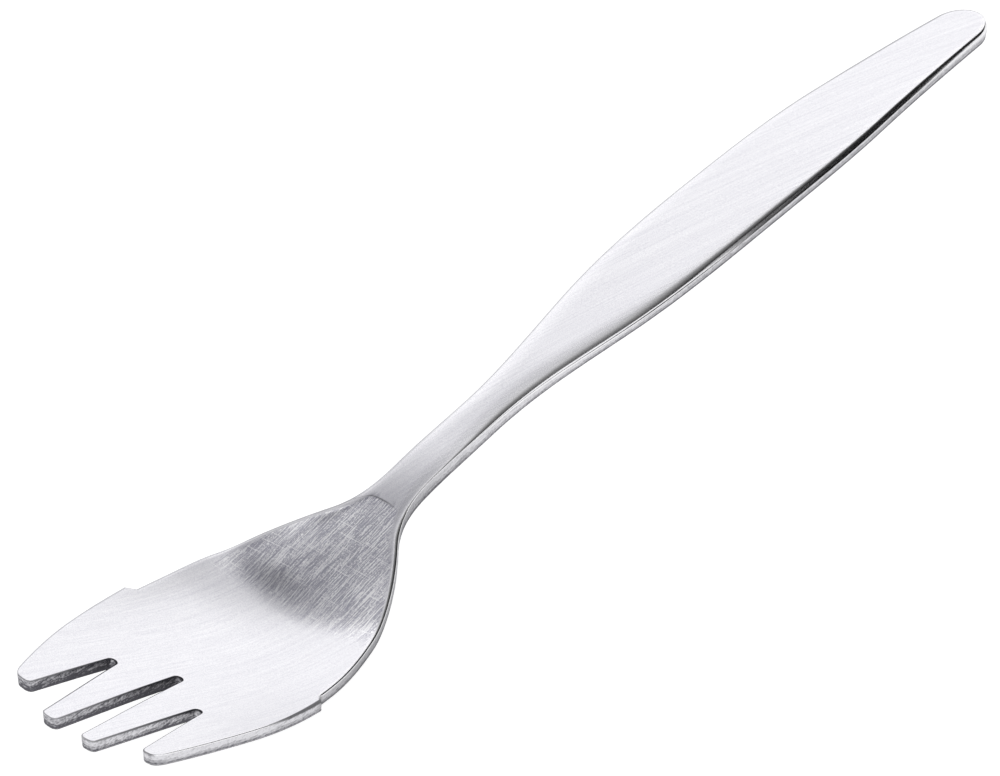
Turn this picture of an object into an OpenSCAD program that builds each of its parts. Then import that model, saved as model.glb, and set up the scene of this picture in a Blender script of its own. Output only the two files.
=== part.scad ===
// Seafood fork, stamped in one piece from steel strip and drawn as the regions of that stamping.
// A station is a distance from the inner tine tips, along the fork towards the handle end.
// X runs along the fork with the tine tips at -X, Y runs across it, and Z is up.
// Z = 0 is the table that the belly and the handle end rest on. Heights are those of the top face.

/* [Lengths] */
// Inner tine tips to the crease where the bowl meets the neck
head_length = 45; // [42:0.5:60]
// Crease to the place where the handle begins to widen
neck_length = 15; // [12:0.5:30]
// Start of the handle to its rounded end
handle_length = 90; // [76:1:130]

/* [Sheet] */
// Thickness of the head
head_t = 1.45; // [1:0.05:2.5]
// Thickness of the neck
neck_t = 2.05; // [1.2:0.05:3]
// Thickness of the handle
handle_t = 1.8; // [1.2:0.05:3]

/* [Tines] */
// Inner tine tips to the root of the middle slot
middle_slot = 15.2; // [12.5:0.1:18]
// Inner tine tips to the roots of the two outer slots
outer_slot = 12; // [8:0.1:12.4]
// How far the outer tine tips stand back from the inner ones
tip_setback = 2.3; // [0:0.1:4]
// Width of an inner tine at its tip
inner_tip = 1.6; // [0.9:0.1:2]
// Width of an outer tine at its tip
outer_tip = 1.7; // [0.9:0.05:2]
// Rounding of the tip corners
tip_round = 0.4; // [0.1:0.05:0.4]
// Mouth of the middle slot
middle_mouth = 2.9; // [2:0.1:4]
// Mouth of each outer slot
outer_mouth = 3.6; // [2.4:0.1:4.4]
// Width of the slots at their round roots
slot_root = 0.9; // [0.5:0.1:1.4]
// Middle line to the root of an outer slot
root_offset = 5.1; // [4:0.1:6]
// Angle at which the head widens behind the outer tine tips
tine_flare = 19; // [10:1:30]

/* [Head] */
// Width across the shoulders, the widest place of the head
head_width = 23.8; // [21:0.1:30]
// Inner tine tips to the shoulders
shoulder_at = 21; // [19:0.1:24]
// How far each side steps in behind its shoulder
shoulder_step = 0.75; // [0.2:0.05:1.5]
// Length of that step along the fork
shoulder_run = 0.85; // [0.4:0.05:2]
// Angle at which the bowl narrows behind the shoulders
bowl_taper = 3.5; // [0:0.5:12]
// Width of the bowl where its sides are steepest
flank_width = 8.3; // [6:0.1:12]
// Steepest place of the bowl's sides to the crease
flank_back = 3; // [2:0.1:6]
// Angle of the bowl's sides at their steepest
flank_angle = 37; // [25:1:50]
// Radius of the hollow across the head
dish_radius = 32; // [25:0.5:120]
// Inner tine tips to the lowest place of the belly
belly_at = 29.5; // [26:0.5:33]
// Belly to the heel, where the bowl's floor has turned up into its ramp
heel_run = 4.2; // [2:0.1:6]
// How far the heel is above the belly
heel_rise = 0.8; // [0.2:0.05:1.2]
// Upward angle of the ramp at the heel
heel_angle = 14.5; // [8:0.5:20]
// How much further back the heel would lie at half the head width than in the middle
heel_bow = 3.7; // [0:0.1:6]
// Height of the inner tine tips
tip_height = 10.7; // [5:0.05:16]
// Upward angle of the tines at their tips
tine_angle = 21; // [8:0.5:30]

/* [Neck] */
// Width of the neck
neck_width = 4; // [3:0.05:6]
// Crease to the place where the neck reaches its width
neck_fillet = 5; // [3:0.5:8]
// How much further the crease reaches in its middle than at its ends
crease_bow = 1.2; // [0:0.1:2]
// Height of the crease
crease_height = 4.95; // [3:0.05:9]
// Upward angle of the ramp at the crease
crease_angle = 13; // [6:0.5:30]
// Crease to the bend where the ramp runs out into the neck
neck_bend = 9; // [6:0.5:11]
// Height of that bend
neck_height = 6.05; // [3:0.05:12]
// Upward angle of the neck at the bend
neck_angle = 2.5; // [0:0.5:12]

/* [Handle] */
// Greatest width of the handle
handle_width = 9.9; // [8:0.1:14]
// Start of the handle to its greatest width
widest_at = 44; // [36:1:60]
// Width on the way to the greatest width
flare_width = 8.1; // [6:0.1:9]
// Start of the handle to that width
flare_at = 20; // [14:1:30]
// Angle of the handle's sides at that width
flare_angle = 6.5; // [3:0.5:10]
// Width on the way to the handle end
taper_width = 8.8; // [6:0.1:9.5]
// That width to the handle end
taper_back = 26; // [14:1:30]
// Angle of the handle's sides at that width
taper_angle = 4.5; // [2:0.5:8]
// Width that the sides are heading for at the handle end
end_width = 5; // [3:0.1:8]
// Length of the rounded end
end_round = 4; // [2:0.1:6]
// Start of the handle to the crest of its arch
crest_at = 11; // [6:0.5:40]
// Height of the crest
crest_height = 6.7; // [4:0.05:12]
// Downward angle of the handle at its end
end_angle = 8.5; // [2:0.5:15]
// How far the handle's top edges are rolled down
roll_drop = 0.6; // [0.1:0.05:0.9]
// How far in from the edge that roll starts
roll_width = 1.2; // [0.3:0.05:1.8]

/* [Hidden] */

bright = [0.86, 0.86, 0.88];
satin = [0.8, 0.8, 0.83];

// Spacing of the drawn rows along the fork, strips across each region, and turn between arc points
row_pitch = 3;
handle_strips = 4;
inner_strips = 4;
outer_strips = 5;
arc_step = 22.5;
tip_step = 30;

handle_at = head_length + neck_length;
end_at = handle_at + handle_length;
shoulder_end = shoulder_at + shoulder_run;
flank_at = head_length - flank_back;
cap_at = end_at - end_round;
// Where the head's thickness and hollow run out into the neck, and where the edge roll is complete
thicken_at = flank_at - flank_back;
roll_from = head_length + neck_length / 2;
roll_full = handle_at + neck_length;
// Share of the rounded end that is drawn, which leaves a small flat on its tip
cap_share = 0.995;
// Largest share of the half width that a rolled edge may take
roll_limit = 0.9;

root_r = slot_root / 2;
inner_edge = middle_mouth / 2;
inner_far = inner_edge + inner_tip;
outer_edge = inner_far + outer_mouth;
outer_far = outer_edge + outer_tip;

// Curves are lists of [station, value, slope]
tine_side = [
  [tip_setback, outer_far, tan(tine_flare)],
  [shoulder_at, head_width / 2, 0]
];
body_side = [
  [shoulder_end, head_width / 2 - shoulder_step, -tan(bowl_taper)],
  [flank_at, flank_width / 2, -tan(flank_angle)],
  [head_length + neck_fillet, neck_width / 2, 0],
  [handle_at, neck_width / 2, 0],
  [handle_at + flare_at, flare_width / 2, tan(flare_angle)],
  [handle_at + widest_at, handle_width / 2, 0],
  [end_at - taper_back, taper_width / 2, -tan(taper_angle)],
  [end_at, end_width / 2, -tan(taper_angle)]
];
profile = [
  [0, tip_height, -tan(tine_angle)],
  [belly_at, head_t, 0],
  [belly_at + heel_run, head_t + heel_rise, tan(heel_angle)],
  [head_length, crease_height, tan(crease_angle)],
  [head_length + neck_bend, neck_height, tan(neck_angle)],
  [handle_at + crest_at, crest_height, 0],
  [end_at, handle_t, -tan(end_angle)]
];

// Cubic from one [station, value, slope] to the next
function cubic(p, q, s) =
  let (h = q[0] - p[0], u = (s - p[0]) / h)
  p[1] * (1 + 2 * u) * (1 - u) ^ 2 + h * p[2] * u * (1 - u) ^ 2
  + q[1] * u ^ 2 * (3 - 2 * u) + h * q[2] * u ^ 2 * (u - 1);
function along(curve, s, i = 0) =
  i == len(curve) - 2 || s <= curve[i + 1][0]
  ? cubic(curve[i], curve[i + 1], s)
  : along(curve, s, i + 1);
// 0 before a, 1 after b, and an S curve between them
function ease(s, a, b) =
  let (u = min(1, max(0, (s - a) / (b - a))))
  u ^ 2 * (3 - 2 * u);
function mix(a, b, u) = a + (b - a) * u;

// Outline: half width of the sides, and with the rounded end
function side(s) =
  s <= shoulder_at ? along(tine_side, s)
  : s >= shoulder_end ? along(body_side, s)
  : mix(tine_side[1][1], body_side[0][1], (s - shoulder_at) / shoulder_run);
function cap(s) = max(0, cap_share * (s - cap_at) / end_round);
function half_width(s) = side(s) * sqrt(1 - cap(s) ^ 2);

// Faces: the pressed strip has the same hollow above and below, and rolled top edges on the handle
function thickness(s) =
  head_t
  + (neck_t - head_t) * ease(s, thicken_at, head_length + neck_fillet)
  + (handle_t - neck_t) * ease(s, handle_at, handle_at + flare_at);
function hollow(s, y) = y ^ 2 / (2 * dish_radius) * (1 - ease(s, belly_at, head_length));
function roll(s) = ease(s, roll_from, roll_full);
function rolled(s, y) =
  let (
    from_edge = side(s) * (1 - norm([cap(s), y / side(s)])),
    reach = roll(s) * roll_width
  )
  from_edge >= reach ? 0
  : roll(s) * roll_drop * (1 - sqrt(1 - (1 - max(0, from_edge) / reach) ^ 2));
// The heel is bowed: away from the middle the profile lags behind
function lag(s, y) =
  heel_bow * (2 * y / head_width) ^ 2 * ease(s, belly_at - heel_run, belly_at + heel_run);
function bent(s, y) = along(profile, s - lag(s, y)) + hollow(s, y);
function top(s, y) = bent(s, y) - rolled(s, y);
function under(s, y) = bent(s, y) - thickness(s);

// The strip over a grid of plan points: rows run along the fork, points run across each row
module pressed(rows) {
  n = len(rows);
  m = len(rows[0]);
  plan = [for (row = rows) each row];
  low = n * m;
  faces_over = [
    for (i = [0:n - 2], j = [0:m - 2])
      let (a = i * m + j, b = a + 1, c = b + m, d = a + m)
      each [[a, b, c], [a, c, d]]
  ];
  faces_under = [for (f = faces_over) [f[2] + low, f[1] + low, f[0] + low]];
  rim = concat(
    [for (j = [0:m - 1]) j],
    [for (i = [1:n - 1]) i * m + m - 1],
    [for (j = [m - 2:-1:0]) (n - 1) * m + j],
    [for (i = [n - 2:-1:1]) i * m]
  );
  faces_side = [
    for (k = [0:len(rim) - 1])
      let (a = rim[k], b = rim[(k + 1) % len(rim)])
      [a, a + low, b + low, b]
  ];
  polyhedron(
    points = concat(
      [for (p = plan) [p[0] - end_at / 2, p[1], top(p[0], p[1])]],
      [for (p = plan) [p[0] - end_at / 2, p[1], under(p[0], p[1])]]
    ),
    faces = concat(faces_over, faces_under, faces_side)
  );
}

// Plan of the tines: two long edges with rounded tip corners, and strips between them
tip_turns = [for (a = [0:tip_step:90 - tip_step]) a];
function tine_shares(edge_length) = concat(
  [for (a = tip_turns) tip_round * (1 - cos(a)) / edge_length],
  [
    for (k = [0:ceil(edge_length / row_pitch)])
      mix(tip_round / edge_length, 1, k / ceil(edge_length / row_pitch))
  ]
);
function tip_inset(k) = k < len(tip_turns) ? tip_round * (1 - sin(tip_turns[k])) : 0;
function strips(near, far, parts) = [
  for (k = [0:len(near) - 1])
    let (a = near[k] + [0, tip_inset(k)], b = far[k] - [0, tip_inset(k)])
    [for (j = [0:parts]) mix(a, b, j / parts)]
];

middle_root = [middle_slot - root_r, root_r];
outer_root_near = [outer_slot - root_r, root_offset - root_r];
outer_root_far = [outer_slot - root_r, root_offset + root_r];
shoulder = [shoulder_at, half_width(shoulder_at)];

module inner_tine() {
  shares = tine_shares(middle_root[0]);
  pressed(strips(
    [for (u = shares) mix([0, inner_edge], middle_root, u)],
    [for (u = shares) mix([0, inner_far], outer_root_near, u)],
    inner_strips
  ));
}

module outer_tine() {
  shares = tine_shares(outer_root_far[0] - tip_setback);
  pressed(strips(
    [for (u = shares) mix([tip_setback, outer_edge], outer_root_far, u)],
    [for (u = shares) let (s = mix(tip_setback, shoulder_at, u)) [s, half_width(s)]],
    outer_strips
  ));
}

// Front of the bowl from the middle line to a shoulder: slot roots and tine bases in turn
bowl_front = concat(
  [for (a = [0:arc_step:90]) [middle_root[0] + root_r * cos(a), root_r * sin(a)]],
  [for (j = [1:inner_strips - 1]) mix(middle_root, outer_root_near, j / inner_strips)],
  [
    for (a = [-90:arc_step:90])
      [outer_root_far[0] + root_r * cos(a), root_offset + root_r * sin(a)]
  ],
  [for (j = [1:outer_strips]) mix(outer_root_far, shoulder, j / outer_strips)]
);
whole_front = concat(
  [for (k = [len(bowl_front) - 1:-1:1]) [bowl_front[k][0], -bowl_front[k][1]]],
  bowl_front
);
// Share of the half width at which each line of the bowl runs back to the crease and along the neck
lines = [for (p = whole_front) p[1] / half_width(p[0])];
function crease(v) = head_length - crease_bow * v ^ 2;

module bowl() {
  color(satin) {
    rows = ceil((head_length - outer_slot) / row_pitch) + 2;
    step_share = shoulder_run / (crease(1) - shoulder_at);
    shares = concat([0], [for (k = [0:rows]) mix(step_share, 1, k / rows)]);
    pressed([
      for (u = shares) [
        for (k = [0:len(lines) - 1])
          let (s = mix(whole_front[k][0], crease(lines[k]), u))
          [s, lines[k] * half_width(s)]
      ]
    ]);
  }
}

module neck() {
  color(bright) {
    rows = ceil(neck_length / row_pitch) + 2;
    pressed([
      for (i = [0:rows]) [
        for (v = lines)
          let (s = mix(crease(v), handle_at, i / rows))
          [s, v * half_width(s)]
      ]
    ]);
  }
}

// Points across the handle: close together over each rolled edge, and spread over its flat
function handle_row(s) =
  let (
    w = half_width(s),
    reach = min(roll_width * roll(s), roll_limit * w),
    edge = [for (a = [90:-arc_step:0]) w - reach * (1 - sin(a))],
    flat = [for (k = [1:handle_strips - 1]) mix(-1, 1, k / handle_strips) * (w - reach)]
  )
  [for (y = concat(-edge, flat, [for (k = [len(edge) - 1:-1:0]) edge[k]])) [s, y]];

module handle() {
  color(bright) {
    rows = ceil((cap_at - handle_at) / row_pitch);
    pressed([
      for (s = concat(
        [for (i = [0:rows]) mix(handle_at, cap_at, i / rows)],
        [for (a = [arc_step / 2:arc_step / 2:90]) cap_at + end_round * sin(a)]
      )) handle_row(s)
    ]);
  }
}

// Left and right are those of a hand that holds the handle with the hollow of the bowl upwards
module right_inner_tine() { color(satin) inner_tine(); }
module right_outer_tine() { color(satin) outer_tine(); }
module left_inner_tine() { color(satin) mirror([0, 1, 0]) inner_tine(); }
module left_outer_tine() { color(satin) mirror([0, 1, 0]) outer_tine(); }

handle();
neck();
bowl();
left_outer_tine();
left_inner_tine();
right_inner_tine();
right_outer_tine();
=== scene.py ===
# %% [markdown]
# A seafood fork in satin stainless steel.
# The real fork is one stamping: a blank is cut from steel strip, pressed into shape, and ground.
# So the visible fork is made here as one closed mesh. Its outline and its bends have the sizes of the CAD
# part. The photo shows a flatter dish between the tines and more rolled edges, and those are added here.
# The CAD part is loaded first. It is the fixed frame, and the fork stays inside its box.

import math

import bmesh
import bpy
import numpy as np
from mathutils import Matrix, Vector, noise


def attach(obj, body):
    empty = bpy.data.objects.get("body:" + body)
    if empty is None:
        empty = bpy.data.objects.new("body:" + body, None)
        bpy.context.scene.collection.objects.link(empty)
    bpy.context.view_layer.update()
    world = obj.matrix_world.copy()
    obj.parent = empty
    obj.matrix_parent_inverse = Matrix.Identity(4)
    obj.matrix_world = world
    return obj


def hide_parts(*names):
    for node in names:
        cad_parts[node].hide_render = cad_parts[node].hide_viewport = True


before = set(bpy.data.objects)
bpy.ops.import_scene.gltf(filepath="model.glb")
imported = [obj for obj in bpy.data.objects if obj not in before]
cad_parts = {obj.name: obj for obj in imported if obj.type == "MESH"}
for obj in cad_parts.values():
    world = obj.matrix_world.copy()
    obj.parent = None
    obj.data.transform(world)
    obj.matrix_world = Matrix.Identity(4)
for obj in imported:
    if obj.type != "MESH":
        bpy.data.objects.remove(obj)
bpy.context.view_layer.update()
print("CAD nodes:", ", ".join(sorted(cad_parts)))

# %% [markdown]
# The fork's long lines are smooth, and a drawing of it gives only a few sizes along each of them.
# A line is kept as a short list of stations, each with a value and a slope, and a cubic joins them.
# Blender's own curves could do this too, but a formula can be asked for its value at any place,
# and the mesh below asks thousands of times. Stations run from the tine tips, in millimetres.

# %% Lines through a few stations
def slope(degrees):
    return math.tan(math.radians(degrees))


def along(line, s):
    """Value of a line of (station, value, slope) at the stations s."""
    at, value, grade = np.array(line, float).T
    s = np.asarray(s, float)
    i = np.clip(np.searchsorted(at, s) - 1, 0, len(at) - 2)
    run = at[i + 1] - at[i]
    u = (s - at[i]) / run
    return (
        value[i] * (1 + 2 * u) * (1 - u) ** 2 + run * grade[i] * u * (1 - u) ** 2
        + value[i + 1] * u ** 2 * (3 - 2 * u) + run * grade[i + 1] * u ** 2 * (u - 1)
    )


def ease(s, start, end):
    """0 before start, 1 after end, and an S curve between them."""
    u = np.clip((np.asarray(s, float) - start) / (end - start), 0, 1)
    return u ** 2 * (3 - 2 * u)


def mix(a, b, u):
    return a + (b - a) * u


# %% [markdown]
# Seen from above, the blank has four short tines, stepped shoulders, a narrow neck and a leaf-shaped
# handle. These lines give half the width at each station, on both sides of the middle.

# %% Outline of the blank
HEAD, NECK, HANDLE = 45.0, 15.0, 90.0
HANDLE_AT = HEAD + NECK
END_AT = HANDLE_AT + HANDLE
SHOULDER_AT, SHOULDER_RUN, SHOULDER_STEP = 21.0, 0.85, 0.75
SHOULDER_END = SHOULDER_AT + SHOULDER_RUN
HEAD_HALF = 11.9
INNER_EDGE, INNER_FAR = 1.45, 3.05
OUTER_EDGE, OUTER_FAR = 6.65, 8.35
TIP_SETBACK, TIP_ROUND = 2.3, 0.6
END_ROUND = 4.0
CAP_AT = END_AT - END_ROUND

TINE_SIDE = [(TIP_SETBACK, OUTER_FAR, slope(19)), (SHOULDER_AT, HEAD_HALF, 0)]
BODY_SIDE = [
    (SHOULDER_END, HEAD_HALF - SHOULDER_STEP, -slope(3.5)),
    (42, 4.15, -slope(37)),
    (50, 2.0, 0),
    (HANDLE_AT, 2.0, 0),
    (80, 4.05, slope(6.5)),
    (104, 4.95, 0),
    (124, 4.4, -slope(4.5)),
    (END_AT, 2.5, -slope(4.5)),
]


def side(s):
    """Half width of the fork at the stations s, before its end is rounded."""
    step = HEAD_HALF - SHOULDER_STEP * (np.asarray(s, float) - SHOULDER_AT) / SHOULDER_RUN
    return np.where(
        s <= SHOULDER_AT, along(TINE_SIDE, s),
        np.where(s >= SHOULDER_END, along(BODY_SIDE, s), step),
    )


print("widest places:", 2 * HEAD_HALF, "mm at the shoulders and 9.9 mm on the handle")

# %% [markdown]
# The press then bends the blank. The tines rise to their tips, the belly touches the table, a ramp
# climbs from the heel of the bowl to the neck, and the handle is a long shallow arch that comes down
# to the table at its end. Across the head the strip is dished, less between the tines than in the bowl,
# and the hollow fades towards the neck.
# The heel is bowed like the end of a spoon, so away from the middle the ramp starts a little later.

# %% Faces of the pressed strip
HEAD_T, NECK_T, HANDLE_T = 1.45, 2.05, 1.8
BELLY_AT, HEEL_RUN, HEEL_BOW = 29.5, 4.2, 3.7
DISH_RADIUS, TINE_DISH, TINE_LIFT = 32.0, 45.0, 0.42
FLATTER_TO, DISHED_FROM = 12, 26
PROFILE = [
    (0, 10.7, -slope(21)),
    (BELLY_AT, HEAD_T, 0),
    (BELLY_AT + HEEL_RUN, HEAD_T + 0.8, slope(14.5)),
    (HEAD, 4.95, slope(13)),
    (54, 6.05, slope(2.5)),
    (71, 6.7, 0),
    (END_AT, HANDLE_T, -slope(8.5)),
]


def top(s, y):
    """Height of the upper face, before its edges are rolled."""
    lag = HEEL_BOW * (y / HEAD_HALF) ** 2 * ease(s, BELLY_AT - HEEL_RUN, BELLY_AT + HEEL_RUN)
    tines = 1 - ease(s, FLATTER_TO, DISHED_FROM)
    curve = mix(1 / DISH_RADIUS, 1 / TINE_DISH, tines) * (1 - ease(s, BELLY_AT, HEAD))
    return along(PROFILE, s - lag) + curve * y ** 2 / 2 + TINE_LIFT * tines * ease(s, 0, FLATTER_TO)


def thickness(s):
    return (
        HEAD_T + (NECK_T - HEAD_T) * ease(s, 39, 50)
        + (HANDLE_T - NECK_T) * ease(s, HANDLE_AT, 80)
    )


def under(s, y):
    return top(s, y) - thickness(s)


print("strip:", HEAD_T, "mm at the head,", NECK_T, "mm at the neck,", HANDLE_T, "mm at the handle")

# %% [markdown]
# The edges tell how the fork was finished. In the head they are only broken, so they stay crisp. Along
# the handle the grinding belt has rolled the top edges over, most of all just behind the neck. A bevel
# has one width everywhere, so the roll is drawn instead: a quarter of an ellipse, with a width and a
# drop that change along the fork. Towards the handle end it turns into a gentle slope and a tight corner,
# which mirrors as a thin black line. The belt leaned to the near side, so the far edge drops less.

# %% Rolled and broken edges
ROLL_WIDTH = [
    (0, 0.14, 0), (14, 0.16, 0), (22, 0.34, 0), (33, 0.5, 0.02), (40, 0.8, 0.03), (46, 1.1, 0.06),
    (52, 1.55, 0.02), (58, 1.62, 0.03), (66, 1.95, 0.02), (74, 2.0, 0), (86, 1.7, -0.025),
    (100, 1.4, -0.015), (120, 1.15, -0.01), (END_AT, 0.88, 0),
]
ROLL_DROP = [
    (0, 0.14, 0), (14, 0.16, 0), (22, 0.3, 0), (33, 0.45, 0.02), (40, 0.6, -0.02), (44, 0.42, -0.05),
    (48, 0.26, -0.01), (54, 0.34, 0.04), (60, 0.7, 0.05), (66, 0.9, 0.02), (74, 0.93, 0),
    (86, 0.78, -0.01), (100, 0.74, 0), (120, 0.72, 0), (END_AT, 0.63, -0.003),
]
FAR_DROP = 0.4
CORNER_FROM, CORNER_TO, CORNER_SHARE = 80, 98, 0.24
GENTLE = [
    (CORNER_FROM, 0.54, 0), (98, 0.52, -0.003), (114, 0.44, -0.006), (130, 0.34, -0.004), (END_AT, 0.3, 0),
]
LOWER_BREAK = 0.17
SLOT_BREAK = 0.14


def roll_width(s):
    return along(ROLL_WIDTH, s)


def roll_drop(s):
    return along(ROLL_DROP, s)


def lower_break(s):
    return np.full_like(np.asarray(s, float), LOWER_BREAK)


def no_inset(s):
    return np.zeros_like(np.asarray(s, float))


print("deepest roll:", max(row[1] for row in ROLL_DROP), "mm, and on the far side", FAR_DROP, "of that")

# %% [markdown]
# The mesh is a set of grids seen from above: four tines, the bowl, the neck, the handle and its round
# end. Neighbouring grids share their border points, so they weld into one sheet of quads. The same grids
# are drawn three times: at the true outline, a little inside it where the upper edge begins to turn down,
# and a little inside it where the lower edge does. An inset function says how far inside.

# %% Grids for the tines
MIDDLE_CENTRE, OUTER_CENTRE = 14.75, 11.55
ROOT_OFFSET, ROOT_R = 5.1, 0.45
INNER_STRIPS, OUTER_STRIPS = 6, 8
TIP_TURNS = np.radians([0, 18, 36, 54, 72])
TINE_ROWS = 22


def strips(near, far, corner, parts):
    """Grid between two long edges, with the corners of its first row rounded."""
    rows = []
    for k in range(len(near)):
        inset = corner * (1 - math.sin(TIP_TURNS[k])) if k < len(TIP_TURNS) else 0
        a, b = near[k] + (0, inset), far[k] - (0, inset)
        rows.append([mix(a, b, j / parts) for j in range(parts + 1)])
    return np.array(rows)


def tine_shares(length, corner):
    turned = [corner * (1 - math.cos(t)) / length for t in TIP_TURNS]
    return turned + list(np.linspace(corner / length, 1, TINE_ROWS))


def inner_tine(inset):
    a = min(SLOT_BREAK, float(inset(0)))
    tip_near, tip_far = np.array([a, INNER_EDGE + a]), np.array([a, INNER_FAR - a])
    root_near = np.array([MIDDLE_CENTRE, ROOT_R + a])
    root_far = np.array([OUTER_CENTRE, ROOT_OFFSET - ROOT_R - a])
    shares = tine_shares(MIDDLE_CENTRE, TIP_ROUND - a)
    near = [mix(tip_near, root_near, u) for u in shares]
    far = [mix(tip_far, root_far, u) for u in shares]
    return strips(near, far, TIP_ROUND - a, INNER_STRIPS)


def outer_tine(inset):
    a = min(SLOT_BREAK, float(inset(0)))
    tip_near = np.array([TIP_SETBACK + a, OUTER_EDGE + a])
    root_near = np.array([OUTER_CENTRE, ROOT_OFFSET + ROOT_R + a])
    shares = tine_shares(OUTER_CENTRE - TIP_SETBACK, TIP_ROUND - a)
    near = [mix(tip_near, root_near, u) for u in shares]
    far = []
    for u in shares:
        s = mix(TIP_SETBACK + a, SHOULDER_AT, u)
        far.append(np.array([s, float(side(s) - inset(s))]))
    return strips(near, far, TIP_ROUND - a, OUTER_STRIPS)


# %% [markdown]
# The bowl starts at the slot roots and the tine bases and runs back to a crease, where the coarse
# grinding of the hollow stops and the neck begins. Each line of the bowl keeps its share of the half
# width, so all lines draw together into the neck. Only the outermost lines follow the step of the
# shoulders. The others pass it smoothly, or they would cross each other there.

# %% Grids for the bowl, the neck and the handle
ARC_TURNS = np.radians(np.arange(0, 91, 18))
CREASE_LINE = [
    (-1, 44.5, 0.8), (-0.46, 45.0, 0.5), (0, 45.1, 0), (0.35, 45.1, -0.2),
    (0.6, 44.95, -1.2), (0.8, 44.4, -3.5), (1, 43.6, -4.2),
]
CREASE_RUN = 0.12
BOWL_ROWS, NECK_ROWS, HANDLE_ROWS, END_ROWS = 60, 26, 100, 12
END_PATCH_AT = END_AT - 7
END_CORNER = math.radians(48)
PASS_FROM, PASS_TO = 14.0, 30.0
SIDE_GRADE = [float(side(s + 0.01) - side(s - 0.01)) / 0.02 for s in (PASS_FROM, PASS_TO)]
PASSING = [(s, float(side(s)), g) for s, g in zip((PASS_FROM, PASS_TO), SIDE_GRADE)]


def crease(v):
    return along(CREASE_LINE, v)


def flow(s, v):
    """Half width that a line with the share v follows at the stations s."""
    inner = np.where((s > PASS_FROM) & (s < PASS_TO), along(PASSING, s), side(s))
    return mix(inner, side(s), ease(np.abs(v), 0.8, 1))


def bowl_front(inset):
    """Front border of the bowl: slot roots and tine bases in turn, from one shoulder to the other."""
    a = min(SLOT_BREAK, float(inset(0)))
    r = ROOT_R + a
    inner_base = [np.array([MIDDLE_CENTRE, r]), np.array([OUTER_CENTRE, ROOT_OFFSET - r])]
    outer_base = [
        np.array([OUTER_CENTRE, ROOT_OFFSET + r]),
        np.array([SHOULDER_AT, float(side(SHOULDER_AT) - inset(SHOULDER_AT))]),
    ]
    half = [np.array([MIDDLE_CENTRE + r * math.cos(t), r * math.sin(t)]) for t in ARC_TURNS]
    half += [mix(*inner_base, j / INNER_STRIPS) for j in range(1, INNER_STRIPS)]
    half += [
        np.array([OUTER_CENTRE + r * math.cos(t), ROOT_OFFSET + r * math.sin(t)])
        for t in np.concatenate([-ARC_TURNS[::-1], ARC_TURNS[1:]])
    ]
    half += [mix(*outer_base, j / OUTER_STRIPS) for j in range(1, OUTER_STRIPS + 1)]
    other = [p * (1, -1) for p in half[:0:-1]]
    return np.array(other + half)


def body_grids(inset):
    front = bowl_front(inset)
    v = front[:, 1] / (side(front[:, 0]) - inset(front[:, 0]))
    for _ in range(12):
        v = front[:, 1] / (flow(front[:, 0], v) - inset(front[:, 0]))
    even = np.linspace(-1, 1, len(v))

    def row(s):
        spread = mix(v, even, ease(s, HEAD + 2, HANDLE_AT + 15))
        return np.stack([s, spread * (flow(s, spread) - inset(s))], 1)

    stop = crease(v) - CREASE_RUN
    step = front[:, 0] + SHOULDER_RUN
    before = stop - CREASE_RUN
    bowl = [front] + [row(mix(step, before, u)) for u in np.linspace(0, 1, BOWL_ROWS)] + [row(stop)]
    start, behind = crease(v), crease(v) + CREASE_RUN
    neck = [row(stop), row(start)]
    neck += [row(mix(behind, HANDLE_AT, u)) for u in np.linspace(0, 1, NECK_ROWS)]
    flat = np.ones_like(v)
    handle = [row(s * flat) for s in np.linspace(HANDLE_AT, END_PATCH_AT, HANDLE_ROWS)]
    return [np.array(bowl), np.array(neck), np.array(handle), round_end(inset, handle[-1], even)]


def round_end(inset, first_row, even):
    """Grid over the rounded end: two sides and an end arc, filled from the last straight row."""
    reach = END_ROUND - float(inset(END_AT))

    def rim(turn):
        s = CAP_AT + reach * np.cos(turn)
        return np.stack([s, (side(s) - inset(s)) * np.sin(turn)], -1)

    straight = np.linspace(END_PATCH_AT, CAP_AT, END_ROWS // 2 + 1)
    left = np.concatenate([
        np.stack([straight, side(straight) - inset(straight)], 1),
        rim(np.linspace(math.pi / 2, END_CORNER, END_ROWS // 2 + 1))[1:],
    ])
    right = left * (1, -1)
    arc = rim(even * END_CORNER)
    rows = []
    for i in range(len(left)):
        u = i / (len(left) - 1)
        q = ((even + 1) / 2)[:, None]
        rows.append(
            mix(first_row, arc, u) + mix(right[i], left[i], q)
            - mix(mix(right[0], left[0], q), mix(right[-1], left[-1], q), u)
        )
    return np.array(rows)


def mirrored(grid):
    return grid[:, ::-1] * (1, -1)


def plan(inset):
    tines = [outer_tine(inset), inner_tine(inset)]
    return tines + [mirrored(g) for g in tines] + body_grids(inset)


# %% [markdown]
# Welding comes next. Points that lie on each other get one number, each grid cell becomes a quad, and the
# edges that only one quad uses form the rim. Following them gives the rim as one closed loop, down one
# side, round the handle end, back up the other side and in and out of the three slots.

# %% Weld the grids and follow the rim
def weld(grids):
    """Quads over the welded points, and for each welded point its place in the list of all points."""
    points = np.concatenate([g.reshape(-1, 2) for g in grids])
    keys, first, number = {}, [], []
    for k, p in enumerate(np.round(points, 4)):
        key = (p[0], p[1])
        if key not in keys:
            keys[key] = len(first)
            first.append(k)
        number.append(keys[key])
    quads, offset = [], 0
    for g in grids:
        n, m = g.shape[:2]
        for i in range(n - 1):
            for j in range(m - 1):
                a = offset + i * m + j
                quads.append([number[k] for k in (a, a + m, a + m + 1, a + 1)])
        offset += n * m
    return quads, np.array(first)


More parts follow.
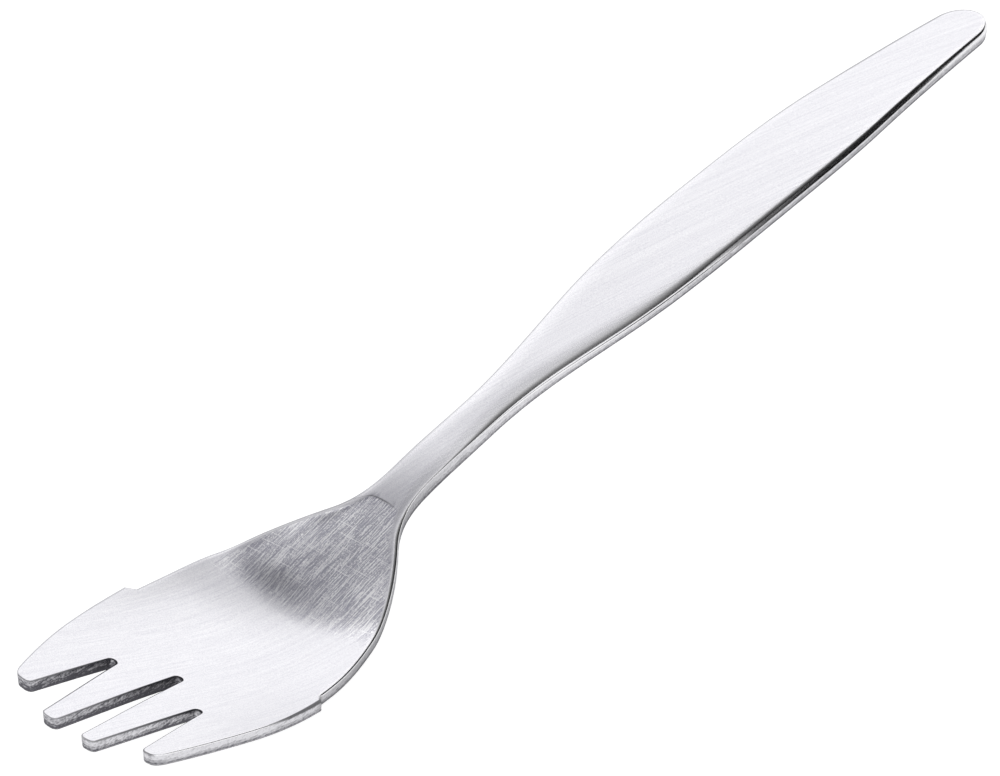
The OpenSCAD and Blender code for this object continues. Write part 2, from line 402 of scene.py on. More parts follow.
def follow_rim(quads):
    after = {}
    edges = {(q[k], q[(k + 1) % 4]) for q in quads for k in range(4)}
    for a, b in edges:
        if (b, a) not in edges:
            after[a] = b
    start = min(after)
    loop = [start]
    while after[loop[-1]] != start:
        loop.append(after[loop[-1]])
    assert len(loop) == len(after), "the rim is one loop"
    return np.array(loop)


upper_grids = plan(roll_width)
quads, first = weld(upper_grids)
rim = follow_rim(quads)


def welded(inset):
    return np.concatenate([g.reshape(-1, 2) for g in plan(inset)])[first]


upper = np.concatenate([g.reshape(-1, 2) for g in upper_grids])[first]
outline = welded(no_inset)[rim]
lower = welded(lower_break)
print("one sheet of", len(quads), "quads with a rim of", len(rim), "points")

# %% [markdown]
# The coarse wheel that ground the hollow cut a little deeper than the neck, which leaves a fine step at
# the crease. It is far too small for the CAD part, but it catches a dark line in the photo, so the upper
# face gets it here. It crosses the fork, bends forward beside the rim on the holder's right, and runs
# out at both ends. The press also pinched the heel a little more just beside its middle, which makes the
# darkest patch of the bowl.

# %% Height of the upper face, with the step at the crease
CREASE_STEP = 0.06
GRIND_REACH = 7.0
RIM_LINE = 0.93
PINCH, PINCH_Y, PINCH_SPREAD = 0.27, 2.7, 2.8


def share_across(p):
    """Place across the fork: 0 on its middle line, 1 and -1 on its edges."""
    return np.clip(p[:, 1] / np.maximum(side(p[:, 0]), 0.1), -1, 1)


def to_crease(p):
    """Millimetres inside the border of the ground hollow: the crease and a line along the rim."""
    v = share_across(p)
    return np.minimum(crease(v) - p[:, 0], (RIM_LINE - v) * side(p[:, 0]))


def in_grinding(p):
    """1 in the ground hollow, 0 behind the crease and beside the rims."""
    near_rim = ease(-share_across(p), 0.55, 0.85) * ease(p[:, 0], 36, 42)
    return (to_crease(p) > CREASE_RUN / 2) * (1 - near_rim)


def upper_height(p):
    s, y = p.T
    v = share_across(p)
    edge = crease(v)
    runs_out = ease(v, -1.0, -0.3) * (1 - ease(v, 0.6, 0.8))
    depth = CREASE_STEP * runs_out * ease(s, edge - GRIND_REACH, edge)
    pinch = PINCH * ease(s, 31, 34) * (1 - ease(s, 36, HEAD)) * (1 - ease(np.abs(v), 0.7, 0.95))
    pinch = pinch * np.exp(-((y - PINCH_Y) / PINCH_SPREAD) ** 2 / 2)
    return top(s, y) + pinch - depth * in_grinding(p)


print("crease step:", CREASE_STEP, "mm, pinch of the heel:", PINCH, "mm")

# %% [markdown]
# Rings of quads join the upper sheet to the lower one: the roll of the upper edge, the cut wall, and the
# broken lower edge. Each ring has one point for every point of the rim, so the mesh closes without a gap.
# The roll comes first. The drop changes smoothly from the near side to the far side round the handle end,
# because a sudden change would leave a notch there.

# %% Rings of the rolled edge
ROLL_RINGS, WALL_RINGS, BREAK_RINGS = 9, 6, 3
SIDE_BLEND = 2.2
CORNER_POWER = 1.2

rim_s, rim_y = outline.T
far_side = ease(rim_y, -SIDE_BLEND, SIDE_BLEND)
drop = roll_drop(rim_s) * mix(1, FAR_DROP, far_side)
corner = ease(rim_s, CORNER_FROM, CORNER_TO)
gentle = along(GENTLE, np.maximum(rim_s, CORNER_FROM))

rings, wall_share = [], []
for turn in np.linspace(0, math.pi / 2, ROLL_RINGS + 1)[1:]:
    share = math.sin(turn)
    last = max(0, 1 - (1 - share) / CORNER_SHARE)
    cornered = gentle * share ** 2 + (1 - gentle) * last ** CORNER_POWER
    p = mix(upper[rim], outline, share)
    z = top(p[:, 0], p[:, 1]) - drop * mix(1 - math.cos(turn), cornered, corner)
    rings.append(np.column_stack([p, z]))
    wall_share.append(0.0)
print("rolled edge:", len(rings), "rings")

# %% [markdown]
# The wall keeps several rings too, because a sheared edge isn't flat: the punch leaves a smooth band above
# and tears the rest, and the torn part is set back a little. Noise makes the tear line wander.

# %% Rings of the cut wall and the broken lower edge
TEAR_DEPTH = 0.035
TEAR_LINE, TEAR_WANDER, TEAR_RUN = 0.45, 0.3, 0.2


def rim_normals(loop):
    ahead = np.roll(loop, -1, 0) - np.roll(loop, 1, 0)
    out = np.stack([ahead[:, 1], -ahead[:, 0]], 1)
    return out / np.linalg.norm(out, axis=1)[:, None]


def set_back(s, y, share):
    """How far the torn steel lies behind the outline, at a share of the way down the wall."""
    tear = TEAR_LINE + TEAR_WANDER * noise.noise(Vector((s * 0.9, y * 0.9, 3.0)))
    ragged = 0.6 + 0.4 * noise.noise(Vector((s * 2.5, y * 2.5, share * 4)))
    return TEAR_DEPTH * ragged * float(ease(share, tear, tear + TEAR_RUN))


outward = rim_normals(outline)
if ((outline - upper[rim]) * outward).sum() < 0:
    outward = -outward
wall_top = top(rim_s, rim_y) - drop
wall_foot = under(rim_s, rim_y) + LOWER_BREAK

for k in range(1, WALL_RINGS + 1):
    share = k / WALL_RINGS
    torn = [n * -set_back(s, y, share) for (s, y), n in zip(outline, outward)]
    p = outline + np.array(torn)
    rings.append(np.column_stack([p, mix(wall_top, wall_foot, share)]))
    wall_share.append(share)
foot_line = rings[-1][:, :2]
for turn in np.linspace(0, math.pi / 2, BREAK_RINGS + 1)[1:-1]:
    p = mix(lower[rim], foot_line, math.cos(turn))
    z = under(p[:, 0], p[:, 1]) + LOWER_BREAK * (1 - math.sin(turn))
    rings.append(np.column_stack([p, z]))
    wall_share.append(1.0)
print(len(rings), "rings join the two faces")

# %% [markdown]
# Now the fork becomes a Blender mesh. The points go in as metres, in the frame of the CAD part, whose
# middle is half way along the fork. The faces of the wall get the second material, a cut edge.

# %% Make the mesh
MM = 0.001
count, loop_size = len(upper), len(rim)
upper_points = np.column_stack([upper, upper_height(upper)])
lower_points = np.column_stack([lower, under(*lower.T)])
points = np.concatenate([upper_points] + rings + [lower_points])
lower_start = len(points) - len(lower_points)

faces = [list(q) for q in quads]
faces += [[lower_start + k for k in reversed(q)] for q in quads]
belts = [rim] + [count + i * loop_size + np.arange(loop_size) for i in range(len(rings))]
belts.append(lower_start + rim)
wall_faces = set()
for i, (belt, below) in enumerate(zip(belts, belts[1:])):
    for k in range(loop_size):
        n = (k + 1) % loop_size
        if ROLL_RINGS <= i < ROLL_RINGS + WALL_RINGS:
            wall_faces.add(len(faces))
        faces.append([int(belt[k]), int(belt[n]), int(below[n]), int(below[k])])

in_frame = (points - (END_AT / 2, 0, 0)) * MM
mesh = bpy.data.meshes.new("fork")
mesh.from_pydata(in_frame.tolist(), [], faces)
mesh.polygons.foreach_set("material_index", [int(k in wall_faces) for k in range(len(faces))])
mesh.polygons.foreach_set("use_smooth", [True] * len(faces))
print("fork:", len(points), "points,", len(wall_faces), "faces on the cut wall")

# %% [markdown]
# A material can't know by itself where the grinding stopped. Point attributes tell it, like marks that a
# maker pencils on the steel. The first three say how far down the cut wall a point is, whether it lies in
# the coarsely ground hollow of the bowl, and how far round a rolled edge it is.

# %% Marks for the wall, the hollow and the rolled edges
HOLLOW_FROM, HOLLOW_FULL = 29, 35.5
FAR_POLISH_AND_HIGHLIGHT = 0.3

down_wall = np.concatenate([np.zeros(count), np.repeat(wall_share, loop_size), np.zeros(len(lower_points))])
hollow = ease(points[:, 0], HOLLOW_FROM, HOLLOW_FULL) * in_grinding(points[:, :2])
hollow[count:] = 0
turned_down = (np.arange(ROLL_RINGS) + 1) / ROLL_RINGS
edge = np.zeros(len(points))
# The edge mark also drives a painted highlight on the rolled edges, weaker on the far side.
edge[count:count + ROLL_RINGS * loop_size] = np.outer(turned_down, mix(1, FAR_POLISH_AND_HIGHLIGHT, far_side)).ravel()
print("points in the ground hollow:", int((hollow > 0.5).sum()))

# %% [markdown]
# Painted shade darkens the steel that was left raw from the punch, where it lies in shade: the walls of the
# slots, darkest at their roots and in the far slot, their upper edges, and the broken lower edge. A stretch
# of the near edge in front of the shoulder and the far edge of the heel are darkened too. The far outline
# gets a thin painted shade line, which sets the white steel off from the white ground.

# %% Marks for painted shade on raw steel
SLOT_SIDE = 2.25
SLOT_SHADES = ((0.8, 1.0), (0.55, 1.0), (0.2, 0.6))
LOWER_EDGE_SHADE = 0.9

in_slot = (rim_s < MIDDLE_CENTRE + 1) & (np.abs(rim_y) < side(rim_s) - 0.3)
deep = ease(rim_s, 0, 11)
far_slot_shade, middle_slot_shade, near_slot_shade = [mix(at_tip, at_root, deep) for at_tip, at_root in SLOT_SHADES]
slot_shade = np.where(rim_y > SLOT_SIDE, far_slot_shade, np.where(rim_y > -SLOT_SIDE, middle_slot_shade, near_slot_shade))

from_edge = (1 - np.sin(turned_down * math.pi / 2))[:, None] * roll_width(rim_s)
outline_shade_width = mix(0.3, 0.5, ease(rim_s, 105, 135))
outline_shade = mix(0.35, 0.65, ease(rim_s, 100, 135))
near_shoulder = ease(rim_s, 13, 17) * (1 - ease(rim_s, 21, 22)) * (~in_slot & (rim_y < 0))
far_heel = ease(rim_s, 32, 37) * (1 - ease(rim_s, 43, 46)) * far_side

# Painted shade ring by ring: upper edges, slot walls and the broken lower edge, and a thin shade line on the
# far outline.
raw_and_shade = np.zeros((len(rings), loop_size))
raw_and_shade[:ROLL_RINGS] = in_slot * np.clip(0.5 + 0.045 * rim_s, 0, 1)
raw_and_shade[:ROLL_RINGS] += 0.8 * near_shoulder
raw_and_shade[:ROLL_RINGS] += outline_shade * (1 - ease(from_edge / outline_shade_width, 0.3, 1)) * ~in_slot * far_side
raw_and_shade[:ROLL_RINGS] += 0.3 * far_heel
raw_and_shade[ROLL_RINGS:ROLL_RINGS + WALL_RINGS] = slot_shade * in_slot
raw_and_shade[ROLL_RINGS + WALL_RINGS:] = LOWER_EDGE_SHADE
raw_and_shade = np.concatenate([np.zeros(count), raw_and_shade.ravel(), np.zeros(len(lower_points))])
print("points of raw steel:", int((raw_and_shade > 0.5).sum()))

# %% [markdown]
# The crease needs its distance, so that the material can paint a thin line of shade along it, and a mask
# that says where that painted shade shows. Three soft dark patches darken the ground hollow: two beside the
# far rim, and one on the heel, which is painted shade. All the marks are then written to the mesh.

# %% Marks for the crease shade and the dark patches
FAR_FROM_CREASE = 5.0

across = share_across(points[:, :2])
crease_line = np.full(len(points), FAR_FROM_CREASE)
gap = to_crease(points[:lower_start, :2])
crease_line[:lower_start] = np.clip(gap, -FAR_FROM_CREASE, FAR_FROM_CREASE)
# Where the painted shade line along the crease shows.
crease_shade_shown = ease(points[:, 0], 39, 41) * ease(across, -0.8, 0.1)
crease_shade_shown[lower_start:] = 0


def dark_patch(strength, station, length, place, centre, width):
    """A soft spot, at a station along the fork and a place across it."""
    return strength * np.exp(-((points[:, 0] - station) / length) ** 2 - ((place - centre) / width) ** 2)


# Painted shade on the heel, and two dark patches beside the far rim.
dark_patches = dark_patch(0.35, 40.6, 1.6, across, 0.78, 0.2)
dark_patches += dark_patch(0.26, 32.7, 1.4, points[:, 1], 3.3, 2.4)
dark_patches += dark_patch(0.2, 36.5, 2.2, across, 0.84, 0.12)
dark_patches[count:] = 0

marks = {
    "down_wall": down_wall, "hollow": hollow, "edge": edge, "raw_and_shade": raw_and_shade,
    "crease": crease_line, "crease_shade_shown": crease_shade_shown, "dark_patches": dark_patches,
}
for name, values in marks.items():
    mesh.attributes.new(name, "FLOAT", "POINT").data.foreach_set("value", values.astype(np.float32))
print("marks:", ", ".join(marks))

# %% [markdown]
# The faces are turned to look outwards, and the shell is checked for gaps. The fork then rides on the root
# body of the frame, and the nodes of the CAD part, which are regions of the same stamping, are hidden.

# %% Check the shell and place the fork
shell = bmesh.new()
shell.from_mesh(mesh)
bmesh.ops.recalc_face_normals(shell, faces=shell.faces)
open_edges = sum(not e.is_manifold for e in shell.edges)
print("fork:", len(shell.faces), "faces,", open_edges, "open edges,",
      round(shell.calc_volume() * 1e9), "cubic millimetres")
shell.to_mesh(mesh)
shell.free()
mesh.validate()

fork = bpy.data.objects.new("fork", mesh)
bpy.context.scene.collection.objects.link(fork)
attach(fork, "root")
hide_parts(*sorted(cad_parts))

# %% [markdown]
# Brushed steel is mostly fine parallel lines. They come from noise that is stretched along the fork, so
# that a grain is long in one direction and thin in the other. Both finishes use such lines, at different
# sizes and directions, so they are a node group: the material gives the stretch and the turn, and gets
# back a value that changes over the surface.

# %% Node group for ground lines
def link(tree, a, b):
    tree.links.new(a, b)


def new_group(name, inputs, outputs):
    group = bpy.data.node_groups.new(name, "ShaderNodeTree")
    for title, kind, start in inputs:
        socket = group.interface.new_socket(title, in_out="INPUT", socket_type=kind)
        if start is not None:
            socket.default_value = start
    for title, kind in outputs:
        group.interface.new_socket(title, in_out="OUTPUT", socket_type=kind)
    return group, group.nodes.new("NodeGroupInput"), group.nodes.new("NodeGroupOutput")


def node(tree, kind, **settings):
    made = tree.nodes.new(kind)
    for key, value in settings.items():
        setattr(made, key, value)
    return made


def math_node(tree, operation, a, b=None, clamp=False):
    made = node(tree, "ShaderNodeMath", operation=operation, use_clamp=clamp)
    for socket, value in zip(made.inputs, (a, b)):
        if isinstance(value, bpy.types.NodeSocket):
            link(tree, value, socket)
        elif value is not None:
            socket.default_value = value
    return made.outputs[0]


lines_group, lines_in, lines_out = new_group(
    "ground_lines",
    [("Place", "NodeSocketVector", None), ("Turn", "NodeSocketVector", None),
     ("Stretch", "NodeSocketVector", None), ("Detail", "NodeSocketFloat", 3.0)],
    [("Lines", "NodeSocketFloat")],
)
turned = node(lines_group, "ShaderNodeMapping", vector_type="POINT")
stretched = node(lines_group, "ShaderNodeVectorMath", operation="MULTIPLY")
grain = node(lines_group, "ShaderNodeTexNoise", noise_dimensions="3D")
grain.inputs["Scale"].default_value = 1.0
grain.inputs["Roughness"].default_value = 0.62
link(lines_group, lines_in.outputs["Place"], turned.inputs["Vector"])
link(lines_group, lines_in.outputs["Turn"], turned.inputs["Rotation"])
link(lines_group, turned.outputs["Vector"], stretched.inputs[0])
link(lines_group, lines_in.outputs["Stretch"], stretched.inputs[1])
link(lines_group, stretched.outputs["Vector"], grain.inputs["Vector"])
link(lines_group, lines_in.outputs["Detail"], grain.inputs["Detail"])
link(lines_group, grain.outputs[0], lines_out.inputs["Lines"])
print("node group:", lines_group.name)

# %% [markdown]
# Scratches are lines too, but sparse: most of the surface has none. The same group makes long thin
# streaks, and only their highest parts are kept.

# %% Node group for scratches
scratch_group, scratch_in, scratch_out = new_group(
    "scratches",
    [("Place", "NodeSocketVector", None), ("Turn", "NodeSocketVector", None),
     ("Stretch", "NodeSocketVector", None), ("Rarity", "NodeSocketFloat", 0.6)],
    [("Scratches", "NodeSocketFloat")],
)
streaks = node(scratch_group, "ShaderNodeGroup", node_tree=lines_group)
streaks.inputs["Detail"].default_value = 1.0
for title in ("Place", "Turn", "Stretch"):
    link(scratch_group, scratch_in.outputs[title], streaks.inputs[title])
over = math_node(scratch_group, "SUBTRACT", streaks.outputs["Lines"], scratch_in.outputs["Rarity"])
kept = math_node(scratch_group, "MULTIPLY", over, 30.0, clamp=True)
link(scratch_group, kept, scratch_out.inputs["Scratches"])
print("node group:", scratch_group.name)

# %% [markdown]
# Both steels start from the same shader, a Principled BSDF that is all metal. A few helpers keep the node
# trees short: one places a group with its values, one reads a mark, and one adds up weighed values.

# %% Helpers for the steels
def steel_material(name):
    material = bpy.data.materials.new(name)
    material.use_nodes = True
    tree = material.node_tree
    shader = tree.nodes["Principled BSDF"]
    shader.inputs["Metallic"].default_value = 1.0
    return material, tree, shader


def placed(tree, group, where, **values):
    made = node(tree, "ShaderNodeGroup", node_tree=group)
    link(tree, where, made.inputs["Place"])
    for title, value in values.items():
        made.inputs[title].default_value = value
    return made.outputs[0]


def mark(tree, name):
    return node(tree, "ShaderNodeAttribute", attribute_name=name).outputs["Fac"]


def turned_by(degrees):
    return (0, 0, math.radians(-degrees))


def weighed(tree, *terms):
    """Sum of (socket, weight) pairs."""
    total = None
    for socket, weight in terms:
        part = math_node(tree, "MULTIPLY", socket, weight)
        total = part if total is None else math_node(tree, "ADD", total, part)
    return total


def toned(tree, start, end, factor):
    """Mix of two colours, each given as numbers or as a socket."""
    made = node(tree, "ShaderNodeMix", data_type="RGBA")
    for title, colour in (("A", start), ("B", end)):
        if isinstance(colour, bpy.types.NodeSocket):
            link(tree, colour, made.inputs[title])
        else:
            made.inputs[title].default_value = (*colour, 1)
    link(tree, factor, made.inputs["Factor"])
    return made.outputs["Result"]


def bumped(tree, relief, height, shader):
    """Bump of a height in metres, from a relief value to the shader's normal."""
    bump = node(tree, "ShaderNodeBump")
    bump.inputs["Strength"].default_value = 1.0
    bump.inputs["Distance"].default_value = height
    link(tree, relief, bump.inputs["Height"])
    link(tree, bump.outputs["Normal"], shader.inputs["Normal"])


print("helpers for satin steel and cut edge")

# %% [markdown]
# The satin finish covers the upper and lower faces and the rolled edges. Fine ground lines run along the
# fork all over it. In the hollow of the bowl the wheel was coarser: light and dark scratches lie side by
# side there, a few run across, and small nicks sparkle, drawn as painted glints. An image of scratches would
# be quicker, but drawn lines stay sharp at any distance.

# %% Lines, scratches and painted nick glints of the satin
NICK_GLINTS_PER_METRE, NICK_GLINT_SIZE, NICK_GLINT_CHANCE = 330.0, 0.045, 0.5

satin, tree, shader = steel_material("satin_steel")
where = node(tree, "ShaderNodeTexCoord").outputs["Object"]
in_hollow, on_edge = mark(tree, "hollow"), mark(tree, "edge")
fine = placed(tree, lines_group, where, Turn=turned_by(-14), Stretch=(35, 5200, 600), Detail=2.0)
broad = placed(tree, lines_group, where, Turn=turned_by(-12), Stretch=(16, 900, 200), Detail=2.0)
coarse = placed(tree, lines_group, where, Turn=turned_by(-3), Stretch=(260, 9500, 900), Detail=1.0)
grit = placed(tree, lines_group, where, Stretch=(8500, 8500, 8500), Detail=1.0)
light = placed(tree, scratch_group, where, Turn=turned_by(-1), Stretch=(200, 8500, 900), Rarity=0.61)
dark = placed(tree, scratch_group, where, Turn=turned_by(-6), Stretch=(220, 8000, 900), Rarity=0.61)
slant = placed(tree, scratch_group, where, Turn=turned_by(9), Stretch=(420, 8000, 900), Rarity=0.62)
crosswise = placed(tree, scratch_group, where, Turn=turned_by(92), Stretch=(160, 7500, 900), Rarity=0.65)

# Painted glints: small bright dots stand for nicks that sparkle, and they lighten the colour only.
cells = node(tree, "ShaderNodeTexVoronoi", feature="F1", voronoi_dimensions="2D")
cells.inputs["Scale"].default_value = NICK_GLINTS_PER_METRE
link(tree, where, cells.inputs["Vector"])
chance = node(tree, "ShaderNodeSeparateColor")
link(tree, cells.outputs["Color"], chance.inputs[0])
chosen = math_node(tree, "GREATER_THAN", chance.outputs[0], NICK_GLINT_CHANCE)
small = math_node(tree, "LESS_THAN", cells.outputs["Distance"], NICK_GLINT_SIZE)
nick_glint = math_node(tree, "MULTIPLY", small, chosen)
print("satin lines:", len(tree.nodes), "nodes so far")

# %% [markdown]
# The flank of a scratch mirrors another part of the room, lighter or darker, so the lines are painted
# reflections: tone between a dark and a light steel, with a little bump. The marks fade the coarse ones in,
# small nicks add painted glints, and the rolled edges get a lighter tone, a painted highlight. A near-black
# colour then darkens the shaded raw edges, the dark patches and the line of the crease; on the edges, the
# heel and the crease it is painted shade. Even black metal turns white when it is seen at a flat angle, so a
# shaded edge is made less of a metal, or its line would vanish at the outline. The rolled edges were buffed,
# and they are smoother.

# %% Tone, painted shade and bump of the satin
DARK_STEEL = (0.46, 0.455, 0.515)
LIGHT_STEEL = (1.0, 0.995, 1.0)
SHADE_AND_RAW_DARK = (0.04, 0.04, 0.045)
MEAN_SCRATCH, GROUND_SHIFT = 3.93, -0.045
CREASE_SHARPNESS, CREASE_SHADE = 8.0, 0.6
SATIN_BLUR, SATIN_RELIEF = 0.27, 0.00001

scratched = weighed(
    tree, (coarse, 4.2), (grit, 3.0), (light, 1.4), (dark, -1.4), (slant, 1.0), (crosswise, 1.3), (nick_glint, 1.4),
)
scratched = math_node(tree, "MULTIPLY", math_node(tree, "SUBTRACT", scratched, MEAN_SCRATCH), in_hollow)
# The rolled edges get a lighter tone from their edge mark: a painted highlight.
ground = weighed(tree, (fine, 0.42), (broad, 0.12), (grit, 0.7), (on_edge, 0.3))
ground = math_node(tree, "ADD", ground, GROUND_SHIFT)
tone = toned(tree, DARK_STEEL, LIGHT_STEEL, math_node(tree, "ADD", ground, scratched, clamp=True))

from_crease = math_node(tree, "ABSOLUTE", mark(tree, "crease"))
from_crease = math_node(tree, "MULTIPLY", from_crease, CREASE_SHARPNESS)
thin = math_node(tree, "SUBTRACT", 1.0, from_crease, clamp=True)
crease_shade = math_node(tree, "MULTIPLY", mark(tree, "crease_shade_shown"), CREASE_SHADE)
# Painted shade: the colour darkens towards near black on the shaded raw edges, the dark patches and the
# crease line.
raw_and_shade_level = mark(tree, "raw_and_shade")
stain_and_shade = math_node(tree, "MAXIMUM", raw_and_shade_level, mark(tree, "dark_patches"))
stain_and_shade = math_node(tree, "MAXIMUM", stain_and_shade, math_node(tree, "MULTIPLY", thin, crease_shade))
link(tree, toned(tree, tone, SHADE_AND_RAW_DARK, stain_and_shade), shader.inputs["Base Color"])
link(tree, math_node(tree, "SUBTRACT", 1.0, raw_and_shade_level, clamp=True), shader.inputs["Metallic"])
shader.inputs["Specular IOR Level"].default_value = 0.0

blur = weighed(tree, (broad, 0.08), (in_hollow, 0.05), (on_edge, -0.23))
link(tree, math_node(tree, "ADD", blur, SATIN_BLUR), shader.inputs["Roughness"])
cuts = weighed(tree, (coarse, 0.5), (light, -0.3), (dark, -0.3), (slant, -0.3))
cuts = math_node(tree, "MULTIPLY", cuts, in_hollow)
relief = math_node(tree, "ADD", weighed(tree, (fine, 0.06), (broad, 0.1)), cuts)
bumped(tree, relief, SATIN_RELIEF, shader)
mesh.materials.append(satin)
print("material:", satin.name, "with", len(tree.nodes), "nodes")

# %% [markdown]
# The cut wall is duller. A punch shears the strip: the upper band of the wall is smeared smooth, and
# below a ragged line the steel breaks and stays rough and darker. The attribute gives the depth down the
# wall, and noise makes the line ragged. The smooth band is deeper at the head than along the handle.

# %% Bands of the cut edge
BREAK_SHARPNESS, SEAM_DEPTH, SEAM_SHARPNESS = 7.0, 0.33, 9.0
FOOT_FROM, FOOT_SHARPNESS, FOOT_SHADE = 0.74, 8.0, 0.66
UNTURNED = (0, 0, 0)

cut, tree, shader = steel_material("cut_edge")
where = node(tree, "ShaderNodeTexCoord").outputs["Object"]
depth, raw_and_shade_level = mark(tree, "down_wall"), mark(tree, "raw_and_shade")
upright = placed(tree, lines_group, where, Turn=UNTURNED, Stretch=(3200, 3200, 500), Detail=3.0)
lengthwise = placed(tree, lines_group, where, Turn=UNTURNED, Stretch=(400, 400, 6500), Detail=2.0)
ragged = placed(tree, lines_group, where, Turn=UNTURNED, Stretch=(900, 900, 300), Detail=2.0)
pitted = placed(tree, lines_group, where, Turn=UNTURNED, Stretch=(3600, 3600, 3600), Detail=2.0)

band = node(tree, "ShaderNodeMapRange", interpolation_type="SMOOTHSTEP")
for title, value in (("From Min", -0.015), ("From Max", 0.02), ("To Min", 0.2), ("To Max", -0.1)):
    band.inputs[title].default_value = value
place = node(tree, "ShaderNodeSeparateXYZ")
link(tree, where, place.inputs[0])
link(tree, place.outputs["X"], band.inputs["Value"])

break_line = math_node(tree, "ADD", math_node(tree, "MULTIPLY", ragged, 0.6), band.outputs[0])
below_break = math_node(tree, "SUBTRACT", depth, break_line)
broken = math_node(tree, "MULTIPLY", below_break, BREAK_SHARPNESS, clamp=True)
seam_line = math_node(tree, "ADD", math_node(tree, "MULTIPLY", ragged, 0.5), SEAM_DEPTH)
from_seam = math_node(tree, "ABSOLUTE", math_node(tree, "SUBTRACT", depth, seam_line))
from_seam = math_node(tree, "MULTIPLY", from_seam, SEAM_SHARPNESS)
seam = math_node(tree, "SUBTRACT", 1.0, from_seam, clamp=True)
# Painted shade: the foot of the wall is darker, more along the handle than at the head.
foot_shade = math_node(tree, "SUBTRACT", depth, FOOT_FROM)
foot_shade = math_node(tree, "MULTIPLY", foot_shade, FOOT_SHARPNESS, clamp=True)
foot_shade = math_node(tree, "MULTIPLY", foot_shade, math_node(tree, "SUBTRACT", FOOT_SHADE, band.outputs[0]))
print("bands of the cut edge:", len(tree.nodes), "nodes so far")

# %% [markdown]
# The bands become tone between sheared and broken steel, and the foot of the wall gets painted shade. Both
# are mottled, most of all in the slots, whose walls carry painted shade, and fine marks run up and down in
# the bump, the way the punch went.

# %% Tone and bump of the cut edge
SHEARED = (0.76, 0.755, 0.78)
BROKEN = (0.12, 0.118, 0.135)
MEAN_MOTTLE, TONE_SHIFT = 1.1, 0.06
CUT_BLUR, BROKEN_BLUR, CUT_RELIEF = 0.32, 0.16, 0.00002

mottled = math_node(tree, "SUBTRACT", weighed(tree, (lengthwise, 1.0), (pitted, 1.2)), MEAN_MOTTLE)
# Painted shade of the slot walls and the lower edge, mottled, from the same mark.
raw_and_shade_mottle = math_node(tree, "MULTIPLY", mottled, raw_and_shade_level)
raw_and_shade_seam = math_node(tree, "MULTIPLY", seam, raw_and_shade_level)
patchy = weighed(
    tree, (broken, 0.26), (mottled, 0.9), (seam, 0.15), (raw_and_shade_level, 0.7), (foot_shade, 1.0),
    (raw_and_shade_mottle, 1.3), (raw_and_shade_seam, 0.3),
)
patchy = math_node(tree, "ADD", patchy, TONE_SHIFT, clamp=True)
link(tree, toned(tree, SHEARED, BROKEN, patchy), shader.inputs["Base Color"])
blur = math_node(tree, "ADD", math_node(tree, "MULTIPLY", broken, BROKEN_BLUR), CUT_BLUR)
link(tree, blur, shader.inputs["Roughness"])

relief = math_node(tree, "MULTIPLY", upright, math_node(tree, "ADD", broken, 0.35))
relief = math_node(tree, "ADD", relief, math_node(tree, "MULTIPLY", lengthwise, 0.25))
bumped(tree, relief, CUT_RELIEF, shader)
mesh.materials.append(cut)
print("material:", cut.name, "with", len(tree.nodes), "nodes")

# %% [markdown]
# The photo's ground is plain white. The floor is a pale sheet that glows where the camera or a reflection
# looks at it, so it never floods the steel with light, and its diffuse part still takes the fork's soft
# shadow. In reflections the glow is weak under the bowl and full further away, because the real sheet
# lies in the fork's own shade there, and that is what the wall of the bowl mirrors.

# %% Floor
FLOOR_SIZE = 6.0
FLOOR_GLOW, NEAR_GLOW, FAR_GLOW = 0.76, 0.12, 0.62
SHADE_CENTRE, SHADE_REACH = (-0.042, 0, 0), (0.02, 0.0125, 1)
SHADE_FROM, SHADE_TO = 0.8, 1.5
FLOOR_COLOUR = (0.5, 0.5, 0.5)

half = FLOOR_SIZE / 2
sheet = bpy.data.meshes.new("floor")
sheet_corners = [(-half, -half, 0), (half, -half, 0), (half, half, 0), (-half, half, 0)]
sheet.from_pydata(sheet_corners, [], [(0, 1, 2, 3)])
floor = bpy.data.objects.new("floor", sheet)
bpy.context.scene.collection.objects.link(floor)

paper = bpy.data.materials.new("white_paper")
paper.use_nodes = True
tree = paper.node_tree
shader = tree.nodes["Principled BSDF"]
shader.inputs["Base Color"].default_value = (*FLOOR_COLOUR, 1)
shader.inputs["Roughness"].default_value = 0.9
shader.inputs["Specular IOR Level"].default_value = 0.0
shader.inputs["Emission Color"].default_value = (1, 1, 1, 1)

around = node(tree, "ShaderNodeVectorMath", operation="SUBTRACT")
link(tree, node(tree, "ShaderNodeTexCoord").outputs["Object"], around.inputs[0])
around.inputs[1].default_value = SHADE_CENTRE
scaled = node(tree, "ShaderNodeVectorMath", operation="DIVIDE")
link(tree, around.outputs["Vector"], scaled.inputs[0])
scaled.inputs[1].default_value = SHADE_REACH
reach = node(tree, "ShaderNodeVectorMath", operation="LENGTH")
link(tree, scaled.outputs["Vector"], reach.inputs[0])
shade = node(tree, "ShaderNodeMapRange", interpolation_type="SMOOTHSTEP")
limits = {"From Min": SHADE_FROM, "From Max": SHADE_TO, "To Min": NEAR_GLOW, "To Max": FAR_GLOW}
for title, value in limits.items():
    shade.inputs[title].default_value = value
link(tree, reach.outputs["Value"], shade.inputs["Value"])

path = node(tree, "ShaderNodeLightPath").outputs
mirrored_ray = math_node(tree, "ADD", path["Is Glossy Ray"], path["Is Transmission Ray"], clamp=True)
mirrored_glow = math_node(tree, "MULTIPLY", mirrored_ray, shade.outputs[0])
camera_glow = math_node(tree, "MULTIPLY", path["Is Camera Ray"], FLOOR_GLOW)
link(tree, math_node(tree, "ADD", mirrored_glow, camera_glow), shader.inputs["Emission Strength"])
sheet.materials.append(paper)
print("floor:", FLOOR_SIZE, "m of white paper")

